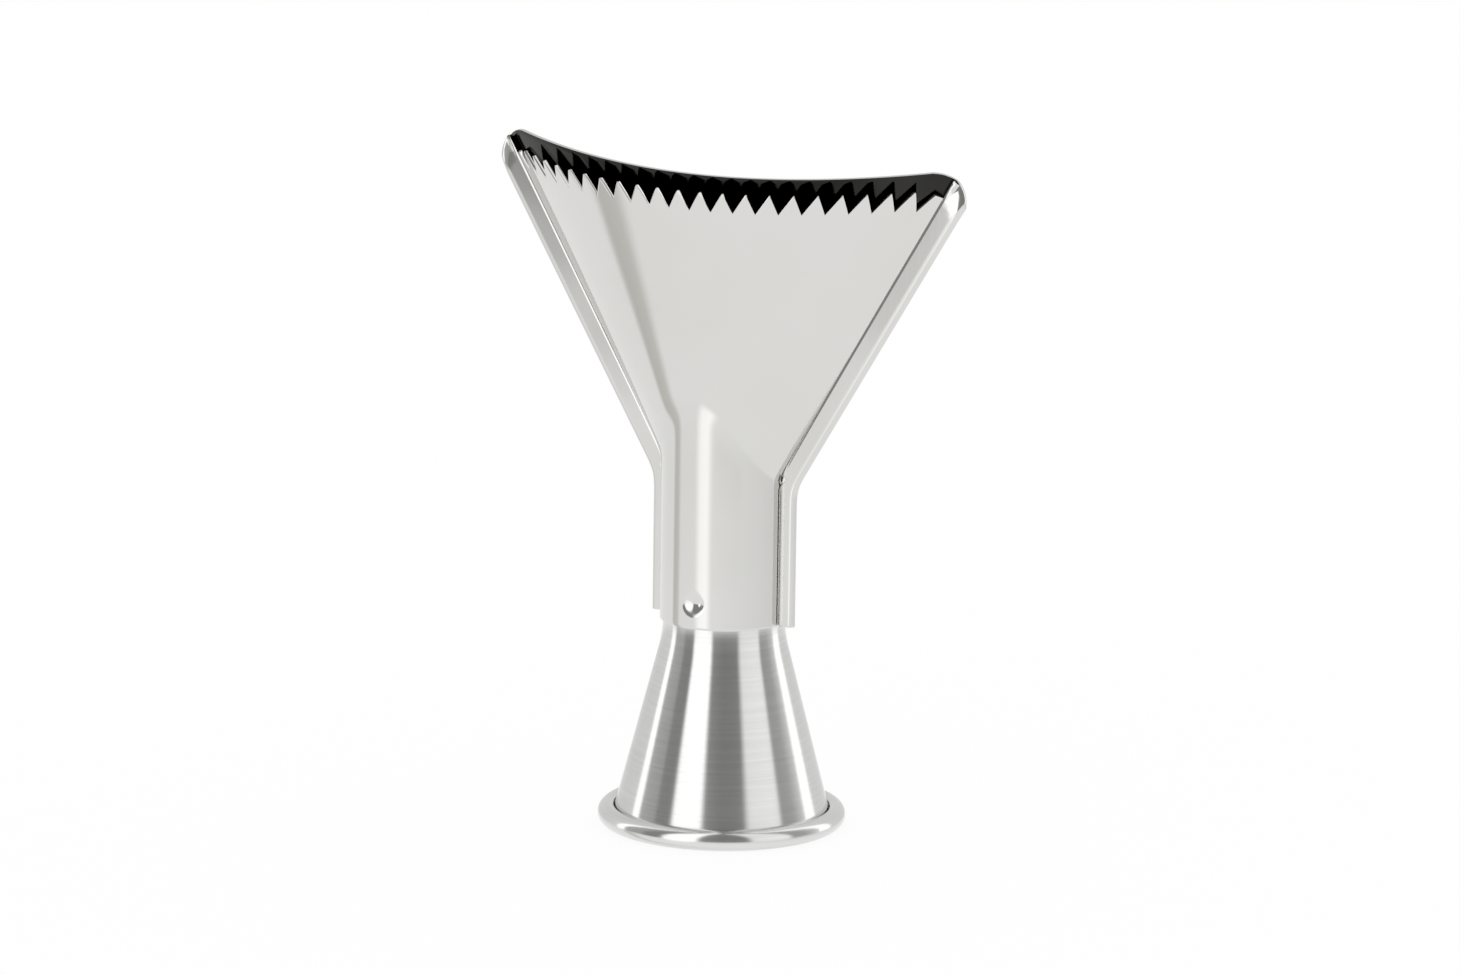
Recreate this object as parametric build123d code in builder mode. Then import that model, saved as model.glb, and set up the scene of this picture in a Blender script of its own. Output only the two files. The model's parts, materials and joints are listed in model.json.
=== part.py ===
from build123d import *
from math import atan2, cos, degrees, sin, sqrt, tan
import os

# A wide piping tip for yule logs, made of three formed sheets of stainless steel.
# Millimetres. +Z runs up the cone's axis from the rim, and the toothed side faces -Y.

# Driving dimensions

sheet = 0.45                # thickness of the three sheets

rim_diameter = 35.0         # over the rolled rim
bead_height = 3.0           # of the rolled rim
foot_flat = 0.3             # width of the ring on which the tip stands
foot_bend = 0.5             # radius of the cone's turn into the rolled rim
lip_bend = 0.95             # radius of the end of the roll, which closes towards the cone
lip_turn = 52.0             # degrees that the end of the roll turns
knee_height = 27.6          # where the cone's line meets the collar's line
knee_radius = 18.0          # of the bend between them
collar_top = 41.0           # end of the collar, inside the neck

neck_radius = 9.1           # outside of the half-round necks
neck_bottom = 29.75
collar_clearance = 0.05     # between the collar and the necks
neck_hem = 2.3              # from the neck to the outer edge of its folded side
shoulder_height = 49.4      # where the straight sides turn out into the fan
shoulder_bend = 4.0         # radius of that turn, at the outer edge

fan_half_width = 37.35      # outer edge of the folded side, at corner_height
corner_height = 92.2
fan_hem = 3.05              # width of the flat side of the fan, along X
back_setback = 0.8          # the back wall leaves the flat side this much further in

front_depth = 14.95         # front wall ahead of the flat sides, on the centre line at the mouth
bulge_top = 62.0            # where the front neck's half round dies into the fan
slot_gap = 5.0              # between the two walls, on the centre line at the mouth
back_start_depth = 0.9      # back wall ahead of the flat sides, at the shoulder
tongue_top = 74.0           # end of the taper by which the back neck dies into the fan
tongue_radius = 3.5         # of the taper's end
tongue_cover = 0.5          # from the taper's end to the back wall's front face

teeth_each_side = 11        # beside the one in the middle
tooth_pitch = 3.4           # along the edge
tooth_depth = 2.7
tooth_flat = 0.2            # width of a tooth's tip
tip_height = 92.65          # tooth tips, on the centre line
tip_rise = 1.75             # how much higher they are at the corners
back_height = 94.15         # smooth edge, on the centre line
back_rise = 3.4             # how much higher it is at the corners
corner_radius = 4.0         # of the sheets' top corners

fold_play = 0.05            # between the front sheet's edge and the fold round it
lip_play = 0.35             # between the folded lip and the wall beside it
bend_radius = 0.3           # inside the bends between the walls and the flat sides
bulge_crease = 2.0          # radius where the front neck dies into the fan
tongue_crease = 1.5         # radius where the back neck's taper does
relief_radius = 0.5         # of the snip in the lip at the shoulder
dimple_height = 33.4
dimple_width = 4.0
dimple_depth = 0.25

# Sizes that follow

collar_radius = neck_radius - sheet - collar_clearance
neck_half_width = neck_radius + neck_hem
fan_slope = (fan_half_width - neck_half_width) / (corner_height - shoulder_height)
fan_angle = atan2(fan_slope, 1)
fold_radius = 1.5 * sheet
front_lean = (front_depth - neck_radius) / (tip_height - bulge_top)
back_depth = front_depth - sheet - slot_gap
back_lean = (back_depth - back_start_depth) / (back_height - shoulder_height)
form_bottom = shoulder_height - neck_hem
form_top = back_height + 2 * back_rise
far = 2 * fan_half_width


def fan_edge(z):
    """Half width of the fan, over its folded sides."""
    return neck_half_width + fan_slope * (z - shoulder_height)


def front_wall(z):
    """Half chord and depth of the front wall's outer face."""
    return fan_edge(z) - fan_hem, neck_radius + front_lean * (z - bulge_top)


def back_wall(z):
    """Half chord and depth of the back wall's front face."""
    return fan_edge(z) - fan_hem - back_setback, back_start_depth + back_lean * (z - shoulder_height)


def arc_radius(half_chord, depth):
    return (half_chord**2 + depth**2) / (2 * depth)


def moved_in(half_chord, depth, inset):
    """Half chord and depth of the same arc, moved towards its centre by inset."""
    radius = arc_radius(half_chord, depth)
    return sqrt((radius - inset) ** 2 - (radius - depth) ** 2), depth - inset


def bowed_form(wall, inset, low, behind):
    """All that lies behind a bowed wall's face, back to the plane y = behind."""
    with BuildPart() as form:
        for z in (low, form_top):
            half_chord, depth = moved_in(*wall(z), inset)
            with BuildSketch(Plane.XY.offset(z)):
                with BuildLine():
                    ThreePointArc((-half_chord, 0), (0, -depth), (half_chord, 0))
                    if behind:
                        Polyline((half_chord, 0), (half_chord, behind), (-half_chord, behind), (-half_chord, 0))
                    else:
                        Line((half_chord, 0), (-half_chord, 0))
                make_face()
        loft(ruled=True)
    return form.part


def neck_form(radius, low, high):
    """A round bar through the neck."""
    with BuildPart() as form:
        with BuildSketch(Plane.XY.offset(low)):
            Circle(radius)
        extrude(amount=high - low)
    return form.part


def side_line(inset):
    """Three points along the folded side's edge, moved in from it by inset."""
    shift = inset / cos(fan_angle)
    turn = shoulder_height + (shift - inset) / fan_slope
    return (
        (neck_half_width - inset, neck_bottom),
        (neck_half_width - inset, turn),
        (fan_edge(form_top) - shift, form_top),
    )


def flat_blank(inset):
    """The sheet's flat outline between its two side edges, moved in by inset."""
    with BuildSketch(Plane.XZ) as blank:
        with BuildLine():
            points = side_line(inset)
            edge = FilletPolyline(*points, radius=shoulder_bend + inset)
            mirror(edge, about=Plane.YZ)
            for x, z in (points[0], points[-1]):
                Line((-x, z), (x, z))
        make_face()
    return blank.sketch


def top_outline(height, rise):
    """A sheet's outline seen from the front: its curved top edge with rounded corners."""
    margin = sheet / 10
    corner_z = height + rise
    corner_x = fan_edge(corner_z) + margin
    low_x = fan_edge(shoulder_height) + margin
    low_z = neck_bottom - margin
    with BuildSketch(Plane.XZ) as outline:
        with BuildLine():
            ThreePointArc((-corner_x, corner_z), (0, height), (corner_x, corner_z))
            side = Polyline((corner_x, corner_z), (low_x, shoulder_height), (low_x, low_z))
            mirror(side, about=Plane.YZ)
            Line((-low_x, low_z), (low_x, low_z))
        make_face()
        fillet(outline.vertices().group_by(Axis.Y)[-1], corner_radius)
    return outline.sketch


def wall_feet(shell, y):
    """Edges along which a shell's walls turn into its flat sides, on the sheet's face at y."""
    feet = [e for e in shell.edges() if e.length > 3 * corner_radius and abs(e.center().Y - y) < sheet / 10]
    return [e for e in feet if abs(e.center().X) < max(neck_radius, fan_edge(e.center().Z) - fan_hem) + fold_radius]


def neck_creases(shell):
    """Edges at which a neck dies into its fan wall, on both faces of the sheet."""
    arches = [e for e in shell.edges() if e.length > 3 * neck_radius and e.geom_type == GeomType.BSPLINE]
    return [e for e in arches if abs(e.center().X) < sheet]


def weld_dimple():
    """Ball that presses the spot weld's dish into a neck."""
    ball_radius = arc_radius(dimple_width / 2, dimple_depth)
    with BuildPart() as ball:
        with Locations((0, ball_radius + neck_radius - dimple_depth, dimple_height)):
            Sphere(ball_radius)
    return ball.part


# Cone socket: one sheet, followed down its inner face and round the roll, and back up its outer face

bead_radius = bead_height / 2
foot_center = Vector(rim_diameter / 2 - bead_radius - foot_flat, foot_bend)
to_foot = foot_center - Vector(collar_radius - sheet, knee_height)
cone_angle = atan2(to_foot.X, -to_foot.Y) - atan2(foot_bend, to_foot.length)
bend_top = knee_height + knee_radius * tan(cone_angle / 2)
down_cone = Vector(sin(cone_angle), -cos(cone_angle))


def cone_face(inset):
    """Line of the sheet's inner face, or of its outer face with inset = sheet."""
    x = collar_radius - sheet + inset
    collar = Line((x, collar_top), (x, bend_top))
    bend = JernArc(collar @ 1, (0, -1), knee_radius - inset, degrees(cone_angle))
    foot_start = foot_center - Vector(cos(cone_angle), sin(cone_angle)) * (foot_bend - inset)
    Line(bend @ 1, foot_start)
    foot = JernArc(foot_start, down_cone, foot_bend - inset, 90 - degrees(cone_angle))
    flat = Line(foot @ 1, (foot @ 1) + Vector(foot_flat, 0))
    roll = JernArc(flat @ 1, (1, 0), bead_radius - inset, 180)
    lip = JernArc(roll @ 1, (-1, 0), lip_bend - inset, lip_turn)
    return collar @ 0, lip @ 1


with BuildPart() as cone_socket:
    with BuildSketch(Plane.XZ):
        with BuildLine():
            inner_ends = cone_face(0)
            outer_ends = cone_face(sheet)
            for inner_end, outer_end in zip(inner_ends, outer_ends):
                Line(inner_end, outer_end)
        make_face()
    revolve(axis=Axis.Z)

# Toothed front shell: half-round neck and bowed fan wall, hollowed, on flat sides

with BuildPart() as toothed_front_shell:
    add(neck_form(neck_radius, neck_bottom, bulge_top + sheet))
    split(bisect_by=Plane.XZ, keep=Keep.TOP)
    add(bowed_form(front_wall, 0, form_bottom, 0))
    extrude(flat_blank(fold_radius + fold_play), amount=sheet)
    add(neck_form(neck_radius - sheet, neck_bottom - sheet, bulge_top + sheet), mode=Mode.SUBTRACT)
    add(bowed_form(front_wall, sheet, form_bottom, sheet), mode=Mode.SUBTRACT)
    fillet(neck_creases(toothed_front_shell), bulge_crease)
    fillet(wall_feet(toothed_front_shell, -sheet), bend_radius)
    fillet(wall_feet(toothed_front_shell, 0), bend_radius + sheet)
    extrude(top_outline(tip_height, tip_rise), amount=far, both=True, mode=Mode.INTERSECT)

    mouth_radius = arc_radius(*front_wall(tip_height))
    edge_reach = fan_edge(tip_height)
    for notch in range(-teeth_each_side, teeth_each_side):
        turn = (notch + 0.5) * tooth_pitch / mouth_radius
        outward = Vector(sin(turn), -cos(turn), 0)
        spot = outward * mouth_radius - Vector(0, front_depth - mouth_radius, 0)
        spot.Z = tip_height + tip_rise * (spot.X / edge_reach) ** 2
        half_notch = (tooth_pitch - tooth_flat) / 2
        with BuildSketch(Plane(spot, x_dir=(cos(turn), sin(turn), 0), z_dir=outward)):
            with BuildLine():
                Polyline(
                    (-half_notch, tooth_depth),
                    (-half_notch, 0),
                    (0, -tooth_depth),
                    (half_notch, 0),
                    (half_notch, tooth_depth),
                    close=True,
                )
            make_face()
        extrude(amount=3 * sheet, both=True, mode=Mode.SUBTRACT)
    add(weld_dimple().rotate(Axis.Z, 180), mode=Mode.SUBTRACT)

# Hemmed back shell: half-round neck with its taper, bowed fan wall, flat sides folded to the front

tongue_lean = atan2(
    neck_radius - tongue_radius + back_wall(tongue_top)[1] + tongue_radius + tongue_cover,
    tongue_top - shoulder_height,
)
tongue_end = Vector(0, -(back_wall(tongue_top)[1] + tongue_radius + tongue_cover), tongue_top)


def back_neck_form(inset):
    """The back neck and the taper above it, moved in by inset."""
    lower = inset * tan(tongue_lean / 2)
    with BuildPart() as form:
        add(neck_form(neck_radius - inset, neck_bottom - inset, shoulder_height - lower))
        with BuildSketch(Plane.XY.offset(shoulder_height - lower)):
            Circle(neck_radius - inset)
        with BuildSketch(Plane(tongue_end - Vector(0, 0, lower))):
            Circle(tongue_radius - inset)
        loft(ruled=True)
    return form.part


with BuildPart() as behind_back_wall:
    with Locations((0, far / 2, 0)):
        Box(2 * far, far, 4 * far)
    add(bowed_form(back_wall, 0, shoulder_height, 0))


def folded_lip():
    """The right-hand lip, seen from the front, with its snip at the shoulder."""
    outer = side_line(fold_radius)
    inner_x = neck_radius + lip_play
    inner_turn = shoulder_height + (inner_x - neck_half_width + fan_hem - lip_play) / fan_slope
    inner_top = fan_edge(form_top) - fan_hem + lip_play
    with BuildSketch(Plane.XZ.offset(sheet)) as lip:
        with BuildLine():
            edge = FilletPolyline(*outer, radius=shoulder_bend + fold_radius)
            Polyline(edge @ 1, (inner_top, form_top), (inner_x, inner_turn), (inner_x, neck_bottom), edge @ 0)
        make_face()
        with Locations((inner_x, inner_turn)):
            Circle(relief_radius, mode=Mode.SUBTRACT)
        with Locations((0, corner_height + far / 2)):
            Rectangle(2 * far, far, mode=Mode.SUBTRACT)
    return lip.sketch


with BuildPart() as hemmed_back_shell:
    extrude(flat_blank(fold_radius), amount=-sheet)
    add(bowed_form(back_wall, 0, shoulder_height, 0))
    add(bowed_form(back_wall, sheet, shoulder_height, far), mode=Mode.SUBTRACT)
    add(back_neck_form(0) & behind_back_wall.part)
    add(back_neck_form(sheet), mode=Mode.SUBTRACT)
    fillet(neck_creases(hemmed_back_shell), tongue_crease)
    neck_feet = [e for e in wall_feet(hemmed_back_shell, 0) if e.center().Z < shoulder_height]
    fillet(neck_feet, bend_radius + sheet)
    fillet(wall_feet(hemmed_back_shell, sheet), bend_radius)

    with BuildLine(Plane.XZ.offset(sheet / 2)) as fold_path:
        FilletPolyline(*side_line(fold_radius), radius=shoulder_bend + fold_radius)
    with BuildSketch(Plane.XY.offset(neck_bottom)):
        with Locations((neck_half_width - fold_radius, -sheet / 2)):
            Circle(fold_radius)
            Circle(fold_radius - sheet, mode=Mode.SUBTRACT)
            with Locations((-fold_radius / 2, 0)):
                Rectangle(fold_radius, 2 * fold_radius, mode=Mode.SUBTRACT)
    right_fold = sweep(path=fold_path.line)
    right_lip = extrude(folded_lip(), amount=sheet)
    mirror(right_fold, about=Plane.YZ)
    mirror(right_lip, about=Plane.YZ)
    extrude(top_outline(back_height, back_rise), amount=far, both=True, mode=Mode.INTERSECT)
    add(weld_dimple(), mode=Mode.SUBTRACT)

os.makedirs("parts", exist_ok=True)

cone_socket.part.label = "cone_socket"
export_step(cone_socket.part, "parts/cone_socket.step")

toothed_front_shell.part.label = "toothed_front_shell"
export_step(toothed_front_shell.part, "parts/toothed_front_shell.step")

hemmed_back_shell.part.label = "hemmed_back_shell"
export_step(hemmed_back_shell.part, "parts/hemmed_back_shell.step")
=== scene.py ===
# %% [markdown]
# # A yule log piping tip in stainless steel
# The real tip is three thin sheets: a cone spun on a lathe, a toothed front shell and a back shell
# whose edges are folded over the front like the hem of a tin box. The CAD part holds the true sizes.
# Here each sheet is made again with softer bends and finer facets, because polished steel shows every
# facet, and then gets its finish. All sizes are the part's own, in millimetres, in the part's frame.

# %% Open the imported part
import json
from math import asin, atan2, cos, degrees, pi, radians, sin, sqrt

import bpy
import numpy as np
from mathutils import Matrix, Vector

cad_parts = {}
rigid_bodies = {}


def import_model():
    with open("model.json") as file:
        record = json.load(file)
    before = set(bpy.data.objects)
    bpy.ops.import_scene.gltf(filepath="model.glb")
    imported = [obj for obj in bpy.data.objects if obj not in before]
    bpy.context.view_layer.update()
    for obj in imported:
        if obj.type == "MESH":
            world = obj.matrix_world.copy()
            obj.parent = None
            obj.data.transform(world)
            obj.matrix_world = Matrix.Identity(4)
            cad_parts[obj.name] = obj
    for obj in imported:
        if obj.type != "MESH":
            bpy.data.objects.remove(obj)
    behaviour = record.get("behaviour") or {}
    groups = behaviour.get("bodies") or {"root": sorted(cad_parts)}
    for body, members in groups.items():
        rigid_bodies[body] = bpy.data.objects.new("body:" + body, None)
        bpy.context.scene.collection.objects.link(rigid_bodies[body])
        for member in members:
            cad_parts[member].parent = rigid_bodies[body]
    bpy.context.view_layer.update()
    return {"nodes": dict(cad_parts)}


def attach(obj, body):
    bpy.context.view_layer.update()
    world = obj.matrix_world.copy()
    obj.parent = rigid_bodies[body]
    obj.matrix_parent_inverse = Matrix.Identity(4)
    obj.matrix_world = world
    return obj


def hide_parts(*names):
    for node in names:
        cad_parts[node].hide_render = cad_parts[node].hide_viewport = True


for old in list(bpy.data.objects):
    bpy.data.objects.remove(old)
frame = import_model()
MM = 0.001
print("CAD nodes:", sorted(frame["nodes"]))

# %% [markdown]
# ## The sizes that the part is driven by
# These are the named dimensions of the CAD source. Everything below is worked out from them, so a
# sheet made here lands on the solid that it stands for.

# %% Sizes of the sheets
sheet = 0.45
rim_diameter, bead_height, foot_flat, foot_bend = 35.0, 3.0, 0.3, 0.5
lip_bend, lip_turn, knee_height, knee_radius, collar_top = 0.95, 52.0, 27.6, 18.0, 41.0
neck_radius, neck_bottom, collar_clearance, neck_hem = 9.1, 29.75, 0.05, 2.3
shoulder_height, fan_half_width, corner_height, fan_hem = 49.4, 37.35, 92.2, 3.05
front_depth, bulge_top, slot_gap, back_setback, back_start_depth = 14.95, 62.0, 5.0, 0.8, 0.9
tongue_top, tongue_radius, tongue_cover = 74.0, 3.5, 0.5
teeth_each_side, tooth_pitch, tooth_depth, tooth_flat = 11, 3.4, 2.7, 0.2
tip_height, tip_rise, back_height, back_rise, corner_radius = 92.65, 1.75, 94.15, 3.4, 4.0
fold_play, lip_play, relief_radius = 0.05, 0.35, 0.5
dimple_height, dimple_width, dimple_depth = 33.4, 4.0, 0.25

neck_half_width = neck_radius + neck_hem
fan_slope = (fan_half_width - neck_half_width) / (corner_height - shoulder_height)
front_lean = (front_depth - neck_radius) / (tip_height - bulge_top)
back_depth = front_depth - sheet - slot_gap
back_lean = (back_depth - back_start_depth) / (back_height - shoulder_height)
print("fan slope", round(fan_slope, 4), "front lean", round(front_lean, 4))

# %% [markdown]
# ## The camera
# The place, aim and lens were fitted to the tooth tips, the neck corners and the rim in the
# photograph. The lens is long, so the two sides of the fan look almost parallel to each other.

# %% Camera at the photograph's view
turn, tilt, roll = radians(29.1644), radians(11.9462), radians(0.8161)
back = np.array([sin(turn) * cos(tilt), -cos(turn) * cos(tilt), sin(tilt)])
right = np.array([cos(turn), sin(turn), 0.0])
up = np.cross(back, right)
cam_x = cos(roll) * right + sin(roll) * up
cam_y = -sin(roll) * right + cos(roll) * up
target = np.array([0, 0, 50.0]) + 0.54 * cam_x - 1.59 * cam_y
place = (target + 1042.7448 * back) * MM
camera_data = bpy.data.cameras.new("camera")
camera_data.sensor_width = 36.0
camera_data.lens = 36.0 * 1042.7448 * 7.1394 / 1460
camera_data.clip_start, camera_data.clip_end = 0.01, 50
camera = bpy.data.objects.new("camera", camera_data)
bpy.context.scene.collection.objects.link(camera)
axes = Matrix([list(a) for a in (cam_x, cam_y, back)]).transposed().to_4x4()
camera.matrix_world = Matrix.Translation(Vector(place)) @ axes
bpy.context.scene.camera = camera
print("lens", round(camera_data.lens, 1), "mm")

# %% [markdown]
# ## Shared helpers
# A bent sheet is drawn as its middle surface: a grid of points, one column for each place across the
# sheet and one row for each height. The Solidify modifier gives it the sheet's thickness and Bevel
# takes the razor edge off, so that edges catch a thin line of light as on the real metal.

# %% Small helpers for grids and finished meshes
def link(name, mesh):
    """Puts a new object into the scene."""
    obj = bpy.data.objects.new(name, mesh)
    bpy.context.scene.collection.objects.link(obj)
    return obj


def grid_mesh(name, points):
    """Makes a mesh of quads from an array of rows x columns x 3, in millimetres."""
    rows, cols = points.shape[:2]
    index = np.arange(rows * cols).reshape(rows, cols)
    quads = np.stack([index[:-1, :-1], index[:-1, 1:], index[1:, 1:], index[1:, :-1]], -1)
    mesh = bpy.data.meshes.new(name)
    mesh.from_pydata((points * MM).reshape(-1, 3).tolist(), [], quads.reshape(-1, 4).tolist())
    return mesh


def bake(obj, angle=32):
    """Turns an object with live modifiers into a plain smooth-shaded mesh."""
    depsgraph = bpy.context.evaluated_depsgraph_get()
    mesh = bpy.data.meshes.new_from_object(obj.evaluated_get(depsgraph), depsgraph=depsgraph)
    obj.modifiers.clear()
    old, obj.data = obj.data, mesh
    if isinstance(old, bpy.types.Mesh):
        bpy.data.meshes.remove(old)
    mesh.name = obj.name
    for name in [a.name for a in mesh.attributes if a.name in ("along", "near_edge", "slide")]:
        mesh.attributes.remove(mesh.attributes[name])
    mesh.shade_smooth()
    mesh.set_sharp_from_angle(angle=radians(angle))
    used = np.zeros(len(mesh.polygons), int)
    mesh.polygons.foreach_get("material_index", used)
    print(obj.name, "has", len(used), "faces,", [m.name for m in mesh.materials], np.bincount(used))
    return obj


def arc_radius(half_chord, depth):
    return (half_chord ** 2 + depth ** 2) / (2 * depth)


def fan_edge(z):
    """Half the width over the hems at a height of the fan."""
    return neck_half_width + fan_slope * (z - shoulder_height)


# %% [markdown]
# ## The cross-section of a shell
# Cut level at any height, half a shell is a short chain: the round neck or its taper, the bowed wall
# of the fan, and a flat flange. The chain is drawn sharp, and then every corner is softened with a
# small blur along its length, which is what a press does to sheet metal.

# %% Half a cross-section, from the middle outwards
def raw_half(z, front):
    """Returns (x, h) of half a section's middle line up to the flange, and where the flange starts.
    h is the distance towards the shell's own outer side: -Y for the front, +Y for the back."""
    half = sheet / 2
    if front:
        depth = neck_radius + front_lean * (z - bulge_top)
        chord = fan_edge(z) - fan_hem
        centre, ring = 0.0, neck_radius - half
    else:
        depth = back_start_depth + back_lean * (z - shoulder_height)
        chord = fan_edge(z) - fan_hem - back_setback
        top_depth = back_start_depth + back_lean * (tongue_top - shoulder_height)
        part = min(max((z - shoulder_height) / (tongue_top - shoulder_height), 0), 1)
        centre = -part * (top_depth + tongue_radius + tongue_cover)
        ring = neck_radius + part * (tongue_radius - neck_radius) - half
    flange_at = 0.0
    if z > shoulder_height - neck_hem:
        big = arc_radius(chord, depth)
        drop = big - depth
        flange_at = sqrt((big - half) ** 2 - (drop + half * (1 if front else -1)) ** 2)

        def wall(x):
            low = np.sqrt(np.maximum((big - half) ** 2 - x ** 2, 0)) - drop
            return low if front else -low
    phi = np.linspace(0, pi / 2, 400)
    ring_x, ring_h = ring * np.sin(phi), centre + ring * np.cos(phi)
    level = np.full_like(ring_x, half)
    if flange_at:
        level = np.where(ring_x < flange_at, wall(ring_x), half)
    below = np.nonzero(ring_h < level)[0]
    last = below[0] if len(below) else len(phi)
    if not front and z > tongue_top:
        last = 0
    xs, hs = ring_x[:last], ring_h[:last]
    start = xs[-1] if last else 0.0
    if start < flange_at:
        wall_x = np.linspace(start, flange_at, 300)[1 if last else 0:]
        xs, hs = np.append(xs, wall_x), np.append(hs, wall(wall_x))
    return np.append(xs, max(start, flange_at)), np.append(hs, half)


def blur(values, sigma, step):
    """A Gaussian blur along the first axis. The ends go on in a straight line."""
    if sigma <= 0:
        return values
    reach = int(4 * sigma / step) + 1
    kernel = np.exp(-0.5 * (np.arange(-reach, reach + 1) * step / sigma) ** 2)
    kernel /= kernel.sum()
    head = 2 * values[:1] - values[reach:0:-1]
    tail = 2 * values[-1:] - values[-2:-reach - 2:-1]
    padded = np.concatenate([head, values, tail])
    return np.stack([np.convolve(padded[:, k], kernel, "valid") for k in range(values.shape[1])], 1)


def soft_half(z, front, flange_width, spots, bend_soft=0.27, crease_soft=0.8):
    """Samples the softened half-section at the asked spots: pairs of (part of the wall, distance
    from the bend, part of the flange)."""
    xs, hs = raw_half(z, front)
    xs, hs = np.append(xs, xs[-1] + flange_width), np.append(hs, sheet / 2)
    length = np.append(0, np.cumsum(np.hypot(np.diff(xs), np.diff(hs))))
    corner, step = length[-2], 0.05
    even = np.arange(0, length[-1], step)
    line = np.stack([np.interp(even, length, xs), np.interp(even, length, hs)], 1)
    whole = np.concatenate([line[:0:-1] * [-1, 1], line])
    near = np.clip((np.abs(np.abs(np.arange(len(whole)) - len(line) + 1) * step - corner) - 1.2) / 1.2, 0, 1)
    near = (near * near * (3 - 2 * near))[:, None]
    whole = blur(whole, bend_soft, step) * (1 - near) + blur(whole, crease_soft, step) * near
    line = whole[len(line) - 1:]
    wall_part, from_bend, flange_part = spots.T
    at = wall_part * (corner - 1.05) + np.where(wall_part >= 1, 1.05 + from_bend, 0)
    at = at + flange_part * (flange_width - 1.0)
    return np.stack([np.interp(at, even, line[:, 0]), np.interp(at, even, line[:, 1])], 1), corner


tooth_marks = [0.0, 0.1, 0.5, 0.9, 1.3, 1.7, 2.1, 2.5, 2.9, 3.3]
across = np.array([k * tooth_pitch + m for k in range(teeth_each_side) for m in tooth_marks]
                  + [teeth_each_side * tooth_pitch])


def wall_share(s):
    """Which part of the wall lies inside a place s mm along the toothed edge, at that place's height."""
    mouth = arc_radius(fan_edge(tip_height) - fan_hem, front_depth)
    x = mouth * sin(s / mouth)
    xs, hs = raw_half(tip_height + tip_rise * (x / fan_edge(tip_height)) ** 2, True)
    length = np.append(0, np.cumsum(np.hypot(np.diff(xs), np.diff(hs))))
    return float(np.interp(x * (1 - sheet / 2 / mouth), xs, length)) / (length[-1] - 1.05)


wall_spots = np.array([wall_share(s) for s in across])
bend_spots = np.arange(-1.0, 1.01, 0.1)
flange_spots = np.linspace(0, 1, 6)[1:]
spots = np.array([(w, 0, 0) for w in wall_spots] + [(1, b, 0) for b in bend_spots]
                 + [(1, 1.0, f) for f in flange_spots])
print("the last tooth lies at", round(float(wall_spots[-1]), 3), "of the wall;", len(spots), "columns")

# %% [markdown]
# ## Stacking sections into a shell
# Sections are taken every half millimetre, blurred a little upwards as well, so that the neck grows
# into the fan in one flow, and then read off at any height that a row of the grid asks for.

# %% Sections stacked by height
levels = np.arange(24.0, 101.01, 0.25)


def stretch(z):
    """How much longer a level cut through the slanting hem is than a square cut."""
    return np.where(z > shoulder_height, sqrt(1 + fan_slope ** 2), 1.0)


def edge_line(z):
    return np.where(z > shoulder_height, fan_edge(z), neck_half_width)


def stack(front):
    """Half-sections at every level: an array of levels x columns x (x, h)."""
    rows = []
    inset = 1.5 * sheet + (fold_play if front else 0)
    for z in levels:
        xs, _ = raw_half(z, front)
        end = float(edge_line(z)) - inset * float(stretch(z))
        points, _ = soft_half(z, front, end - xs[-1], spots)
        rows.append(points)
    table = np.stack(rows)
    if not front:
        fold = np.radians(np.linspace(0, 180, 15)[1:])
        reach = (edge_line(levels) - 1.5 * sheet * stretch(levels))[:, None]
        fold_x = reach + sheet * np.sin(fold)[None] * stretch(levels)[:, None]
        fold_h = np.broadcast_to(-sheet / 2 + sheet * np.cos(fold)[None], fold_x.shape)
        table = np.concatenate([table, np.stack([fold_x, fold_h], -1)], 1)
    shape = table.shape
    return blur(table.reshape(shape[0], -1), 1.1, 0.25).reshape(shape)


front_table, back_table = stack(True), stack(False)
print("front table", front_table.shape, "back table", back_table.shape)

# %% [markdown]
# The lip of the hem is the last strip of the back sheet. It lies on the front shell's flange and
# stops just short of its wall. At the shoulder the maker snipped a small round relief into it, so
# that the metal could turn the corner without tearing.

# %% The hem's lip, with its relief snip
def read(table, column, z):
    """The (x, h) of one column at the asked heights."""
    return np.stack([np.interp(z, levels, table[:, column, k]) for k in (0, 1)], -1)


bend_column = len(wall_spots) + int(np.argmin(np.abs(bend_spots)))
lip_columns = 7
wall_foot = np.array([np.interp(-0.9, -front_table[k, :, 1], front_table[k, :, 0])
                      for k in range(len(levels))]) + sheet / 2
lip_inner = wall_foot + np.where(levels > shoulder_height, 0.5, 0.7) * lip_play
snip_height = shoulder_height + 1.3
snip = np.sqrt(np.maximum(relief_radius ** 2 - (levels - snip_height) ** 2, 0))
lip_outer = back_table[:, -1, 0]
shares = np.linspace(0, 1, lip_columns + 1)[1:]
lip_x = lip_outer[:, None] + (lip_inner + 1.3 * snip - lip_outer)[:, None] * shares
lip_h = np.full_like(lip_x, -1.5 * sheet)
fold_end = back_table.shape[1]
back_table = np.concatenate([back_table, np.stack([lip_x, lip_h], -1)], 1)
print("lip is", round(float(lip_outer[0] - lip_inner[0]), 2), "mm wide on the neck")

# %% [markdown]
# ## The top edges
# Seen from the front, each shell's top is a shallow arc between rounded corners. A column of the
# grid ends where it leaves that outline.

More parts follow.
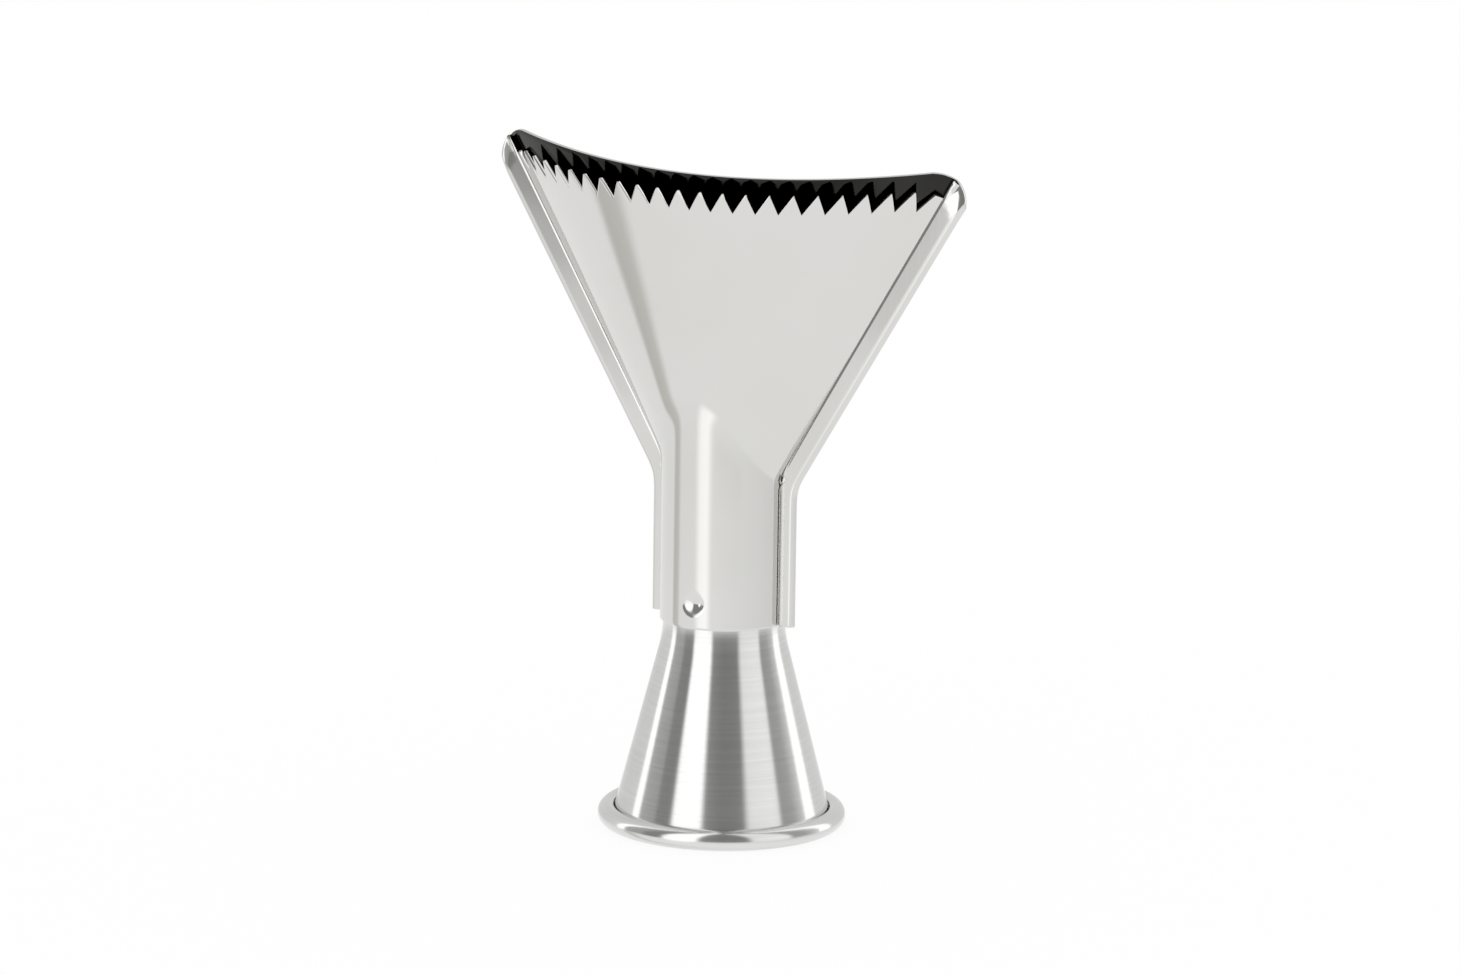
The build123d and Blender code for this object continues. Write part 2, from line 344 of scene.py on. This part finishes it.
# %% Where each column ends
def column_tops(table, height, rise):
    """The height at which every column leaves the arc-topped outline with rounded corners."""
    wide = fan_edge(height + rise)
    big = arc_radius(wide, rise)
    k = sqrt(1 + fan_slope ** 2)
    ball = corner_radius
    tries = np.linspace(height - 12, height + rise, 4000)
    centre_x = fan_edge(tries) - ball * k
    gap = np.hypot(centre_x, height + big - tries) - (big + ball)
    best = int(np.argmin(np.abs(gap)))
    centre = np.array([centre_x[best], tries[best]])
    tops = []
    for column in range(table.shape[1]):
        z = np.linspace(height - 12, height + rise + 2, 3000)
        x = np.interp(z, levels, table[:, column, 0])
        under_arc = z <= height + big - np.sqrt(big ** 2 - np.minimum(x, big) ** 2)
        dx, dz = x - centre[0], z - centre[1]
        in_corner = (dx > 0) & (dz > -fan_slope * dx) & (dz > 0) | ((dx > 0) & (dz <= 0) & (dz > -fan_slope * dx))
        inside = under_arc & (~in_corner | (np.hypot(dx, dz) <= ball))
        outside = np.nonzero(~inside)[0]
        tops.append(z[outside[0] - 1] if len(outside) else z[-1])
    return np.array(tops)


front_tops = column_tops(front_table, tip_height, tip_rise)
back_tops = column_tops(back_table, back_height, back_rise)
print("front top", round(front_tops.min(), 2), "to", round(front_tops.max(), 2))
print("back top", round(back_tops[:fold_end].min(), 2), "to", round(back_tops.max(), 2))

# %% Rows of the grid
row_heights = np.concatenate([
    np.arange(neck_bottom, 31.0, 0.4), np.arange(31.0, 36.2, 0.25), np.arange(36.5, 48.5, 0.9),
    np.arange(48.6, 52.9, 0.22), np.arange(53.4, 76.0, 0.8), np.arange(76.5, 88.1, 1.2)])
top_rows = np.linspace(0, 1, 12)[1:]


def shell_grid(table, tops, front):
    """The whole middle surface of a shell: both halves, rows x columns x 3."""
    grid = []
    for column in range(table.shape[1]):
        start = row_heights[-1]
        z = np.append(row_heights, start + (tops[column] - start) * top_rows)
        point = read(table, column, z)
        y = -point[:, 1] if front else point[:, 1]
        grid.append(np.stack([point[:, 0], y, z], -1))
    half = np.stack(grid, 1)
    mirrored = half[:, :0:-1] * [-1, 1, 1]
    return np.concatenate([mirrored, half], 1)


front_grid = shell_grid(front_table, front_tops, True)
back_grid = shell_grid(back_table, back_tops, False)

# at the mouth's corners the maker's last tap rolled the end of the hem back over the edge
hem = back_grid[..., 1] < sheet / 2 - 0.02
hem &= np.abs(back_grid[..., 0]) > fan_edge(back_grid[..., 2]) - fan_hem - 0.2
roll_part = np.clip((back_grid[..., 2] - back_grid[-1:, :, 2]) / 2.6 + 1, 0, 1) ** 2
back_grid[..., 1] += hem * 0.55 * roll_part * (sheet / 2 - back_grid[..., 1]) / (2 * sheet)
print("front grid", front_grid.shape, "back grid", back_grid.shape)

# %% [markdown]
# ## The spot-weld dimples
# The neck is held to the cone's collar by a pressed spot at the front, and by a like one at the back,
# which the photograph doesn't show. Each is a shallow dish with a small pip at its side.

# %% Press the dimples into the necks
def press_dimple(grid, toward):
    """Pushes the sheet in by a smooth dish at the neck's middle. toward is +1 where in is +Y."""
    y_side = grid[..., 1] * toward < 0
    x, z = grid[..., 0], grid[..., 2]
    rho = np.hypot(x, z - dimple_height) / (dimple_width / 2)
    dish = 1.2 * dimple_depth * 0.5 * (1 + np.cos(pi * np.minimum(rho, 1)))
    pip = 0.12 * np.exp(-(((x - 1.15) / 0.2) ** 2 + ((z - dimple_height) / 0.3) ** 2) / 2)
    grid[..., 1] += toward * (dish + pip) * y_side
    return float(dish.max())


print("dimple", press_dimple(front_grid, 1), press_dimple(back_grid, -1), "mm deep")

# %% [markdown]
# ## The teeth, in Geometry Nodes
# The teeth repeat along the curved top edge, so a node tree cuts them: it reads how far along the
# edge a point lies, works out a row of V notches from pitch, depth and tip width, and slides
# the points near the edge down the wall by that much. A change of pitch is one number.

# %% The node tree that cuts a toothed edge
def node(tree, kind, label="", **values):
    made = tree.nodes.new(kind)
    made.label = label
    for key, value in values.items():
        setattr(made, key, value)
    return made


def math_node(tree, operation, first, second=None):
    made = tree.nodes.new("ShaderNodeMath")
    made.operation = operation
    for socket, value in zip(made.inputs, (first, second)):
        if isinstance(value, bpy.types.NodeSocket):
            tree.links.new(value, socket)
        elif value is not None:
            socket.default_value = value
    return made.outputs[0]


def start_tree(name, inputs):
    """A Geometry Nodes tree with one geometry in and out and the named inputs."""
    tree = bpy.data.node_groups.new(name, "GeometryNodeTree")
    tree.interface.new_socket("Geometry", in_out="INPUT", socket_type="NodeSocketGeometry")
    for label, kind, value in inputs:
        socket = tree.interface.new_socket(label, in_out="INPUT", socket_type=kind)
        if value is not None:
            socket.default_value = value
    tree.interface.new_socket("Geometry", in_out="OUTPUT", socket_type="NodeSocketGeometry")
    return tree, node(tree, "NodeGroupInput"), node(tree, "NodeGroupOutput")


def end_tree(tree, geometry, group_in, group_out):
    """Realize Instances and Set Material close every tree."""
    realize, paint = node(tree, "GeometryNodeRealizeInstances"), node(tree, "GeometryNodeSetMaterial")
    tree.links.new(geometry, realize.inputs[0])
    tree.links.new(realize.outputs[0], paint.inputs["Geometry"])
    tree.links.new(group_in.outputs["Material"], paint.inputs["Material"])
    tree.links.new(paint.outputs[0], group_out.inputs[0])


def toothed_edge_tree():
    tree, source, result = start_tree("toothed_edge", [
        ("Pitch", "NodeSocketFloat", 3.4), ("Depth", "NodeSocketFloat", 2.7),
        ("Tip Width", "NodeSocketFloat", 0.2), ("Reach", "NodeSocketFloat", 37.4),
        ("Material", "NodeSocketMaterial", None)])

    def named(name, kind):
        made = node(tree, "GeometryNodeInputNamedAttribute", name, data_type=kind)
        made.inputs["Name"].default_value = name
        return made.outputs["Attribute"]
    along, pitch = named("along", "FLOAT"), source.outputs["Pitch"]
    part = math_node(tree, "FLOORED_MODULO", along, pitch)
    mirrored = math_node(tree, "MINIMUM", part, math_node(tree, "SUBTRACT", pitch, part))
    flat = math_node(tree, "DIVIDE", source.outputs["Tip Width"], 2.0)
    run = math_node(tree, "SUBTRACT", math_node(tree, "DIVIDE", pitch, 2.0), flat)
    ramp = math_node(tree, "DIVIDE", math_node(tree, "SUBTRACT", mirrored, flat), run)
    ramp = math_node(tree, "MAXIMUM", ramp, 0.0)
    inside = math_node(tree, "LESS_THAN", math_node(tree, "ABSOLUTE", along), source.outputs["Reach"])
    drop = math_node(tree, "MULTIPLY", math_node(tree, "MULTIPLY", ramp, inside), source.outputs["Depth"])
    drop = math_node(tree, "MULTIPLY", drop, named("near_edge", "FLOAT"))
    slide = node(tree, "ShaderNodeVectorMath", "down the wall", operation="SCALE")
    tree.links.new(named("slide", "FLOAT_VECTOR"), slide.inputs[0])
    tree.links.new(drop, slide.inputs["Scale"])
    move = node(tree, "GeometryNodeSetPosition")
    tree.links.new(source.outputs["Geometry"], move.inputs["Geometry"])
    tree.links.new(slide.outputs[0], move.inputs["Offset"])
    end_tree(tree, move.outputs[0], source, result)
    return tree


def set_inputs(modifier, **values):
    """Sets a Geometry Nodes modifier's inputs by the identifier behind each name."""
    for item in modifier.node_group.interface.items_tree:
        if item.item_type == "SOCKET" and item.in_out == "INPUT":
            key = item.name.lower().replace(" ", "_")
            if key in values:
                modifier[item.identifier] = values[key]


# %% [markdown]
# ## Shader groups that both steels share
# Brushing and lathe marks are fine lines that run one way: noise that is squeezed hard across the
# lines. Handling leaves soft cloudy patches where the shine is a little duller. Both are node groups
# with named inputs, so each steel uses them with its own numbers.

# %% Node groups: fine lines and handling haze
def start_group(name, inputs, outputs):
    group = bpy.data.node_groups.new(name, "ShaderNodeTree")
    for label, kind, value in inputs:
        socket = group.interface.new_socket(label, in_out="INPUT", socket_type=kind)
        socket.default_value = value
    for label, kind in outputs:
        group.interface.new_socket(label, in_out="OUTPUT", socket_type=kind)
    return group, node(group, "NodeGroupInput"), node(group, "NodeGroupOutput")


def fine_lines_group():
    group, source, result = start_group("fine_lines", [
        ("Vector", "NodeSocketVector", (0, 0, 0)), ("Squeeze", "NodeSocketVector", (1, 1, 1)),
        ("Density", "NodeSocketFloat", 1000.0), ("Detail", "NodeSocketFloat", 3.0)],
        [("Lines", "NodeSocketFloat")])
    squeeze = node(group, "ShaderNodeVectorMath", "squeeze", operation="MULTIPLY")
    noise = node(group, "ShaderNodeTexNoise", "lines")
    group.links.new(source.outputs["Vector"], squeeze.inputs[0])
    group.links.new(source.outputs["Squeeze"], squeeze.inputs[1])
    group.links.new(squeeze.outputs[0], noise.inputs["Vector"])
    group.links.new(source.outputs["Density"], noise.inputs["Scale"])
    group.links.new(source.outputs["Detail"], noise.inputs["Detail"])
    group.links.new(noise.outputs[0], result.inputs["Lines"])
    return group


def handling_haze_group():
    group, source, result = start_group("handling_haze", [
        ("Vector", "NodeSocketVector", (0, 0, 0)), ("Patch Scale", "NodeSocketFloat", 60.0),
        ("Low", "NodeSocketFloat", 0.05), ("High", "NodeSocketFloat", 0.1)],
        [("Roughness", "NodeSocketFloat"), ("Mask", "NodeSocketFloat")])
    noise = node(group, "ShaderNodeTexNoise", "patches")
    noise.inputs["Detail"].default_value = 4.0
    spread = node(group, "ShaderNodeMapRange", "spread")
    mask = node(group, "ShaderNodeMapRange", "mask")
    group.links.new(source.outputs["Vector"], noise.inputs["Vector"])
    group.links.new(source.outputs["Patch Scale"], noise.inputs["Scale"])
    for made in (spread, mask):
        made.inputs["From Min"].default_value, made.inputs["From Max"].default_value = 0.35, 0.68
        group.links.new(noise.outputs[0], made.inputs["Value"])
    group.links.new(source.outputs["Low"], spread.inputs["To Min"])
    group.links.new(source.outputs["High"], spread.inputs["To Max"])
    group.links.new(spread.outputs[0], result.inputs["Roughness"])
    group.links.new(mask.outputs[0], result.inputs["Mask"])
    return group


fine_lines, handling_haze = fine_lines_group(), handling_haze_group()
print("shader groups:", fine_lines.name, handling_haze.name)

# %% [markdown]
# ## The polished sheet
# The two shells were bought as bright polished sheet. It mirrors its surroundings, only slightly
# blurred, with a faint wave left by the rolling and the press, and a trace of warmth in its grey.
# Inside the narrow slot the two walls only see each other and the metal turns nearly black, so the
# inner faces of both shells get the same recipe with near-black values: that darkness is painted shade.

# %% Material: polished sheet
def place_group(tree, group, **values):
    made = node(tree, "ShaderNodeGroup", node_tree=group)
    for key, value in values.items():
        made.inputs[key.replace("_", " ").title()].default_value = value
    return made


def mix_colour(tree, mask, first, second):
    made = node(tree, "ShaderNodeMix", data_type="RGBA")
    tree.links.new(mask, made.inputs["Factor"])
    made.inputs["A"].default_value, made.inputs["B"].default_value = first, second
    return made.outputs["Result"]


def new_material(name):
    material = bpy.data.materials.new(name)
    material.use_nodes = True
    tree = material.node_tree
    shader = tree.nodes["Principled BSDF"]
    where = node(tree, "ShaderNodeTexCoord").outputs["Object"]
    return material, tree, shader, where


def polished_sheet(name, clean, dull):
    material, tree, shader, where = new_material(name)
    shader.inputs["Metallic"].default_value = 1.0
    haze = place_group(tree, handling_haze, patch_scale=45.0, low=0.055, high=0.1)
    lines = place_group(tree, fine_lines, squeeze=(1.0, 1.0, 0.04), density=2600.0, detail=2.0)
    tree.links.new(where, haze.inputs["Vector"])
    tree.links.new(where, lines.inputs["Vector"])
    tree.links.new(haze.outputs["Roughness"], shader.inputs["Roughness"])
    colour = mix_colour(tree, haze.outputs["Mask"], clean, dull)
    tree.links.new(colour, shader.inputs["Base Color"])
    wave = node(tree, "ShaderNodeTexNoise", "rolling wave")
    wave.inputs["Scale"].default_value = 38.0
    wave.inputs["Detail"].default_value = 1.0
    tree.links.new(where, wave.inputs["Vector"])
    slow, fine = node(tree, "ShaderNodeBump", "wave"), node(tree, "ShaderNodeBump", "lines")
    slow.inputs["Strength"].default_value, slow.inputs["Distance"].default_value = 1.0, 0.0001
    fine.inputs["Strength"].default_value, fine.inputs["Distance"].default_value = 0.12, 0.00001
    tree.links.new(wave.outputs[0], slow.inputs["Height"])
    tree.links.new(lines.outputs["Lines"], fine.inputs["Height"])
    tree.links.new(slow.outputs[0], fine.inputs["Normal"])
    tree.links.new(fine.outputs[0], shader.inputs["Normal"])
    return material


steel = polished_sheet("polished_sheet", (0.705, 0.7, 0.685, 1), (0.68, 0.675, 0.655, 1))
# painted shade: a near-black copy of the sheet for the inner faces, standing in for the slot's shadow
inside = polished_sheet("slot_side", (0.022, 0.022, 0.021, 1), (0.05, 0.049, 0.046, 1))
print("made", steel.name, "and", inside.name)

# %% [markdown]
# ## The front shell
# The plain grid carries three notes for the node tree: how far along the mouth each column is, how
# near the edge each row is, and which way the wall slides down.

# %% Toothed front shell
def column_notes(grid, top_count):
    """Arc length along the mouth, nearness to the edge and the slide per mm, one for each point."""
    rows, cols = grid.shape[:2]
    half = cols // 2
    one_side = np.append(across, np.full(half + 1 - len(across), 99.0))
    along = np.concatenate([-one_side[:0:-1], one_side])
    near = np.append(np.zeros(rows - top_count), top_rows ** 1.0)
    slide = grid[rows - top_count - 1] - grid[-1]
    slide /= np.abs(slide[:, 2:3])
    return (np.broadcast_to(along, (rows, cols)), np.broadcast_to(near[:, None], (rows, cols)),
            np.broadcast_to(slide, (rows, cols, 3)))


def thicken(obj, edge=0.03):
    solid = obj.modifiers.new("sheet", "SOLIDIFY")
    # the offset side takes the second material slot, which on the two shells is the painted-shade copy
    solid.thickness, solid.offset, solid.material_offset = sheet * MM, 0.0, 1
    soft = obj.modifiers.new("edges", "BEVEL")
    soft.width, soft.segments, soft.limit_method = edge * MM, 2, "ANGLE"
    soft.angle_limit, soft.harden_normals = radians(50), False


def add_note(mesh, name, kind, values):
    note = mesh.attributes.new(name, kind, "POINT")
    note.data.foreach_set("vector" if kind == "FLOAT_VECTOR" else "value", np.ravel(values).astype("f"))


front_mesh = grid_mesh("toothed_front", front_grid)
along, near, slide = column_notes(front_grid, len(top_rows))
add_note(front_mesh, "along", "FLOAT", along)
add_note(front_mesh, "near_edge", "FLOAT", near)
add_note(front_mesh, "slide", "FLOAT_VECTOR", slide * MM)
front = link("toothed_front", front_mesh)
# the second slot is the near-black painted-shade copy, for the inner side that Solidify makes
for finish in (steel, inside):
    front_mesh.materials.append(finish)
cutter = front.modifiers.new("teeth", "NODES")
cutter.node_group = toothed_edge_tree()
set_inputs(cutter, pitch=tooth_pitch, depth=tooth_depth, tip_width=tooth_flat,
           reach=teeth_each_side * tooth_pitch + 0.01, material=steel)
thicken(front)
bake(front)

# %% [markdown]
# ## The back shell
# One sheet makes the scooped wall, the tapering half of the neck and both hems: its section runs
# from the wall through the flange, round the fold and back along the lip.

# %% Hemmed back shell
back_shell = link("hemmed_back", grid_mesh("hemmed_back", back_grid[:, ::-1]))
# the second slot is the near-black painted-shade copy, for the inner side that Solidify makes
for finish in (steel, inside):
    back_shell.data.materials.append(finish)
thicken(back_shell)
bake(back_shell)

# %% [markdown]
# ## The spun cone
# The socket was spun over a former on a lathe, so its shape is one outline turned around the axis.
# A Geometry Nodes tree does just that: it carries the outline round a circle with Curve to Mesh.

# %% Outline of the cone, as a chain of arcs
class Outline:
    """A chain of lines and arcs in (radius, height), walked with a heading, as a pen would."""

    def __init__(self, point, heading):
        self.point, self.heading, self.points = np.array(point, float), heading, [np.array(point, float)]

    def line(self, length, count=2):
        way = np.array([cos(self.heading), sin(self.heading)])
        for k in range(1, count + 1):
            self.points.append(self.point + way * length * k / count)
        self.point = self.points[-1]

    def arc(self, radius, angle, count):
        """Turns left for a positive angle in radians, right for a negative one."""
        side = 1 if angle > 0 else -1
        normal = np.array([-sin(self.heading), cos(self.heading)]) * side
        centre = self.point + normal * radius
        for k in range(1, count + 1):
            turn_by = angle * k / count
            c, s = cos(turn_by), sin(turn_by)
            arm = self.point - centre
            self.points.append(centre + np.array([c * arm[0] - s * arm[1], s * arm[0] + c * arm[1]]))
        self.point, self.heading = self.points[-1], self.heading + angle


bead = bead_height / 2
collar_radius = neck_radius - sheet - collar_clearance
foot_radius = rim_diameter / 2 - bead
print("collar radius", collar_radius, "mm, bead radius", bead, "mm")

# %% Walk the outline of the cone's middle surface
half = sheet / 2
foot_centre = np.array([rim_diameter / 2 - bead - foot_flat, foot_bend])
to_foot = foot_centre - [collar_radius - sheet, knee_height]
cone_angle = atan2(to_foot[0], -to_foot[1]) - asin(foot_bend / np.hypot(*to_foot))
bend_top = knee_height + knee_radius * sin(cone_angle / 2) / cos(cone_angle / 2)
profile = Outline((collar_radius - half, collar_top), -pi / 2)
profile.line(collar_top - bend_top, 8)
profile.arc(knee_radius - half, cone_angle, 16)
foot_start = foot_centre - (foot_bend - half) * np.array([cos(cone_angle), sin(cone_angle)])
profile.line(float(np.hypot(*(foot_start - profile.point))), 24)
profile.arc(foot_bend - half, pi / 2 - cone_angle, 6)
profile.line(foot_flat, 1)
profile.arc(bead - half, pi, 32)
profile.arc(lip_bend - half, radians(lip_turn), 10)
outline = np.array(profile.points)
print("cone slants", round(degrees(cone_angle), 2), "degrees, widest", round(outline[:, 0].max() + half, 3))


# %% The node tree that spins an outline
def spin_tree():
    tree, source, result = start_tree("spun_outline", [
        ("Hub Radius", "NodeSocketFloat", 0.005), ("Segments", "NodeSocketInt", 192),
        ("Material", "NodeSocketMaterial", None)])
    chain = node(tree, "GeometryNodeMeshToCurve")
    tree.links.new(source.outputs["Geometry"], chain.inputs["Mesh"])
    split = node(tree, "ShaderNodeSeparateXYZ")
    tree.links.new(node(tree, "GeometryNodeInputPosition").outputs[0], split.inputs[0])
    join = node(tree, "ShaderNodeCombineXYZ", "distance from the hub, height")
    tree.links.new(math_node(tree, "SUBTRACT", split.outputs["X"], source.outputs["Hub Radius"]),
                   join.inputs["X"])
    tree.links.new(math_node(tree, "MULTIPLY", split.outputs["Z"], -1.0), join.inputs["Y"])
    move = node(tree, "GeometryNodeSetPosition")
    tree.links.new(chain.outputs[0], move.inputs["Geometry"])
    tree.links.new(join.outputs[0], move.inputs["Position"])
    circle = node(tree, "GeometryNodeCurvePrimitiveCircle", mode="RADIUS")
    tree.links.new(source.outputs["Segments"], circle.inputs["Resolution"])
    tree.links.new(source.outputs["Hub Radius"], circle.inputs["Radius"])
    sweep = node(tree, "GeometryNodeCurveToMesh")
    tree.links.new(circle.outputs[0], sweep.inputs["Curve"])
    tree.links.new(move.outputs[0], sweep.inputs["Profile Curve"])
    end_tree(tree, sweep.outputs[0], source, result)
    return tree


# %% [markdown]
# ## The spun finish
# The cone kept its lathe finish: very fine rings all the way round, and here and there a deeper one.
# The rings stretch every reflection up and down, which is why its bright and dark bands run from
# collar to rim. Anisotropy with a tangent around the axis does the stretching.

# %% Material: spun steel
def spun_steel():
    material, tree, shader, where = new_material("spun_steel")
    shader.inputs["Metallic"].default_value = 1.0
    shader.inputs["Anisotropic"].default_value = 0.8
    shader.inputs["Anisotropic Rotation"].default_value = 0.25
    tangent = node(tree, "ShaderNodeTangent", direction_type="RADIAL", axis="Z")
    tree.links.new(tangent.outputs[0], shader.inputs["Tangent"])
    rings = place_group(tree, fine_lines, squeeze=(0.02, 0.02, 1.0), density=3000.0, detail=6.0)
    wide_rings = place_group(tree, fine_lines, squeeze=(0.05, 0.05, 1.0), density=420.0, detail=3.0)
    haze = place_group(tree, handling_haze, patch_scale=60.0, low=0.15, high=0.2)
    for group in (rings, wide_rings, haze):
        tree.links.new(where, group.inputs["Vector"])
    ramp = node(tree, "ShaderNodeMapRange", "ring contrast")
    ramp.inputs["From Min"].default_value, ramp.inputs["From Max"].default_value = 0.35, 0.65
    ramp.inputs["To Min"].default_value, ramp.inputs["To Max"].default_value = 0.0, 1.0
    tree.links.new(rings.outputs["Lines"], ramp.inputs["Value"])
    colour = mix_colour(tree, ramp.outputs[0], (0.69, 0.69, 0.685, 1), (0.74, 0.74, 0.73, 1))
    tree.links.new(colour, shader.inputs["Base Color"])
    tree.links.new(haze.outputs["Roughness"], shader.inputs["Roughness"])
    coarse, fine = node(tree, "ShaderNodeBump", "coarse rings"), node(tree, "ShaderNodeBump", "rings")
    coarse.inputs["Strength"].default_value, coarse.inputs["Distance"].default_value = 0.1, 0.00001
    fine.inputs["Strength"].default_value, fine.inputs["Distance"].default_value = 0.1, 0.000005
    tree.links.new(wide_rings.outputs["Lines"], coarse.inputs["Height"])
    tree.links.new(rings.outputs["Lines"], fine.inputs["Height"])
    tree.links.new(coarse.outputs[0], fine.inputs["Normal"])
    tree.links.new(fine.outputs[0], shader.inputs["Normal"])
    return material


spun = spun_steel()

# %% Spin the cone
chain_mesh = bpy.data.meshes.new("spun_cone")
chain_mesh.from_pydata([(r * MM, 0, z * MM) for r, z in outline],
                       [(k, k + 1) for k in range(len(outline) - 1)], [])
chain_mesh.materials.append(spun)
cone = link("spun_cone", chain_mesh)
spinner = cone.modifiers.new("spin", "NODES")
spinner.node_group = spin_tree()
set_inputs(spinner, hub_radius=0.005, segments=224, material=spun)
thicken(cone, 0.05)
bake(cone)
print("cone box", [round(v, 4) for v in np.array(cone.bound_box).min(0)],
      [round(v, 4) for v in np.array(cone.bound_box).max(0)])

# %% [markdown]
# ## The studio
# Polished steel is a picture of the room. The photograph was taken on a white table in a white tent
# with a few dark openings: they make the bands on the cone. The world gives those bands to glossy
# rays only, by compass direction, and plain soft light to everything else.

# %% Floor that is white for the camera and keeps a faint shadow
def studio_floor():
    floor = link("floor", bpy.data.meshes.new("floor"))
    floor.data.from_pydata([(-4, -4, 0), (4, -4, 0), (4, 4, 0), (-4, 4, 0)], [], [(0, 1, 2, 3)])
    material = bpy.data.materials.new("floor_white")
    material.use_nodes = True
    tree = material.node_tree
    tree.nodes.clear()
    result = node(tree, "ShaderNodeOutputMaterial")
    plain, glow = node(tree, "ShaderNodeBsdfDiffuse"), node(tree, "ShaderNodeEmission")
    plain.inputs["Color"].default_value = (0.98, 0.98, 0.98, 1)
    clear, rays = node(tree, "ShaderNodeBsdfTransparent"), node(tree, "ShaderNodeLightPath")
    half_lit, pick = node(tree, "ShaderNodeMixShader"), node(tree, "ShaderNodeMixShader")
    share = math_node(tree, "MULTIPLY", rays.outputs["Is Camera Ray"], 0.9)
    tree.links.new(share, half_lit.inputs[0])
    tree.links.new(plain.outputs[0], half_lit.inputs[1])
    tree.links.new(glow.outputs[0], half_lit.inputs[2])
    glossy = math_node(tree, "MAXIMUM", rays.outputs["Is Glossy Ray"], rays.outputs["Is Transmission Ray"])
    tree.links.new(glossy, pick.inputs[0])
    tree.links.new(half_lit.outputs[0], pick.inputs[1])
    tree.links.new(clear.outputs[0], pick.inputs[2])
    tree.links.new(pick.outputs[0], result.inputs["Surface"])
    floor.data.materials.append(material)


studio_floor()

# %% World: bands by compass direction
view_direction = degrees(atan2(-cos(turn), sin(turn)))
upper_bands = [(-180, 0.75), (-140, 0.75), (-112, 0.8), (-110, 1.5), (-101, 1.5), (-99, 0.5), (-78, 0.42),
               (-75, 0.28), (-58, 0.26), (-54, 1.45), (-24, 1.5), (-19, 0.3), (0, 0.24), (24, 0.26),
               (31, 1.0), (66, 1.1), (70, 0.38), (86, 0.45), (101, 0.75), (104, 1.5), (118, 1.5),
               (122, 0.8), (180, 0.75)]
table_bands = [(-180, 1.0), (-106, 0.98), (-102, 0.64), (-93, 0.7), (-87, 0.98), (-40, 1.0), (90, 1.0),
               (140, 0.97), (180, 1.0)]
far_bands = [(-180, 0.95), (-107, 0.96), (-102, 0.66), (-93, 0.72), (-87, 0.96), (-56, 0.98), (-46, 1.3),
             (-34, 1.35), (-24, 1.0), (30, 0.94), (90, 0.86), (140, 0.95), (180, 0.95)]


def band_ramp(tree, factor, bands, label):
    """A colour ramp of grey values by degrees to the right of the view direction."""
    ramp = node(tree, "ShaderNodeValToRGB", label)
    elements = ramp.color_ramp.elements
    for _ in range(len(bands) - 2):
        elements.new(0.5)
    for element, (angle, value) in zip(elements, bands):
        element.position = (angle + 180) / 360
        warm = 0.06 if 0.6 < value < 0.75 else 0.0
        element.color = (value, value * (1 - warm / 3), value * (1 - warm), 1)
    tree.links.new(factor, ramp.inputs[0])
    return ramp.outputs[0]


def studio_world():
    world = bpy.data.worlds.new("studio")
    bpy.context.scene.world = world
    world.use_nodes = True
    tree = world.node_tree
    tree.nodes.clear()
    result, background = node(tree, "ShaderNodeOutputWorld"), node(tree, "ShaderNodeBackground")
    tree.links.new(background.outputs[0], result.inputs[0])
    split = node(tree, "ShaderNodeSeparateXYZ")
    tree.links.new(node(tree, "ShaderNodeTexCoord").outputs["Generated"], split.inputs[0])
    angle = math_node(tree, "ARCTAN2", split.outputs["Y"], split.outputs["X"])
    angle = math_node(tree, "SUBTRACT", angle, radians(view_direction) - pi)
    factor = math_node(tree, "DIVIDE", math_node(tree, "FLOORED_MODULO", angle, 2 * pi), 2 * pi)
    high = band_ramp(tree, factor, upper_bands, "tent above the table")
    near = band_ramp(tree, factor, table_bands, "table below")
    far = band_ramp(tree, factor, far_bands, "far table")

    def layer(below, above, start, end):
        rise = node(tree, "ShaderNodeMapRange", "height", interpolation_type="SMOOTHSTEP")
        rise.inputs["From Min"].default_value, rise.inputs["From Max"].default_value = start, end
        tree.links.new(split.outputs["Z"], rise.inputs["Value"])
        both = node(tree, "ShaderNodeMix", data_type="RGBA")
        for source, socket in ((rise.outputs[0], "Factor"), (below, "A"), (above, "B")):
            tree.links.new(source, both.inputs[socket])
        return both.outputs["Result"]
    room = layer(layer(near, far, -0.42, -0.3), high, -0.19, -0.165)
    rays = node(tree, "ShaderNodeLightPath")
    seen = node(tree, "ShaderNodeMix", data_type="RGBA")
    seen.inputs["A"].default_value = (1, 1, 1, 1)
    tree.links.new(rays.outputs["Is Glossy Ray"], seen.inputs["Factor"])
    tree.links.new(room, seen.inputs["B"])
    tree.links.new(seen.outputs["Result"], background.inputs["Color"])
    print("world bands:", len(upper_bands), "above,", len(far_bands) + len(table_bands), "below")


studio_world()

# %% [markdown]
# ## Pieces in place
# Every piece rides on the one body and takes the place of its CAD node, which is hidden.

# %% Ride and replace
bpy.context.scene.view_settings.view_transform = "Standard"
for piece, cad_node, finish in ((cone, "cone_socket", "spun_steel"),
                                (front, "toothed_front_shell", "polished_sheet"),
                                (back_shell, "hemmed_back_shell", "polished_sheet")):
    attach(piece, "root")
    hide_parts(cad_node)
